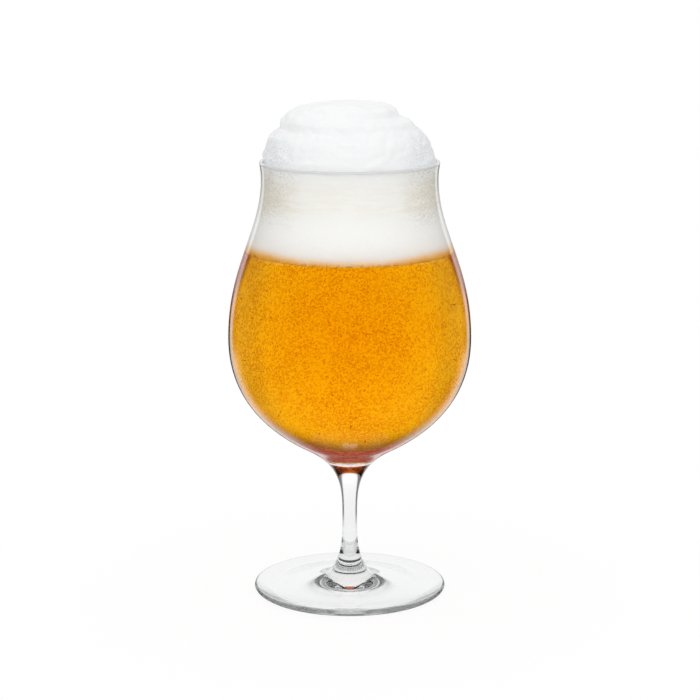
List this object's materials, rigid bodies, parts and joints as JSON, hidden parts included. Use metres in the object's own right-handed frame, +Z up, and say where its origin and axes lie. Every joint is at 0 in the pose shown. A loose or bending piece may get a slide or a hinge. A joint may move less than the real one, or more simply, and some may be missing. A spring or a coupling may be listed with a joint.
{
  "type": "tulip beer glass",
  "caption": "Stemmed tulip glass of amber beer under a high head of foam: a round-bellied bowl narrows to a flared rim, on a slim stem and a flat round foot it stands on.",
  "frame": {"origin": "on the table, under the middle of the foot", "axes": "+Z up along the axis of the glass; X and Y are level and any turn about Z is as good, with the picture's view along +Y"},
  "size_m": [0.091, 0.091, 0.186],
  "materials": {
    "clear_glass": "polished clear glass",
    "amber_beer": "clear amber liquid with fine bubbles",
    "white_foam": "matt fine-bubbled foam"
  },
  "bodies": {
    "root": {"foot": "clear_glass", "stem": "clear_glass", "bowl": "clear_glass", "beer": "amber_beer", "foam_head": "white_foam"}
  },
  "joints": []
}
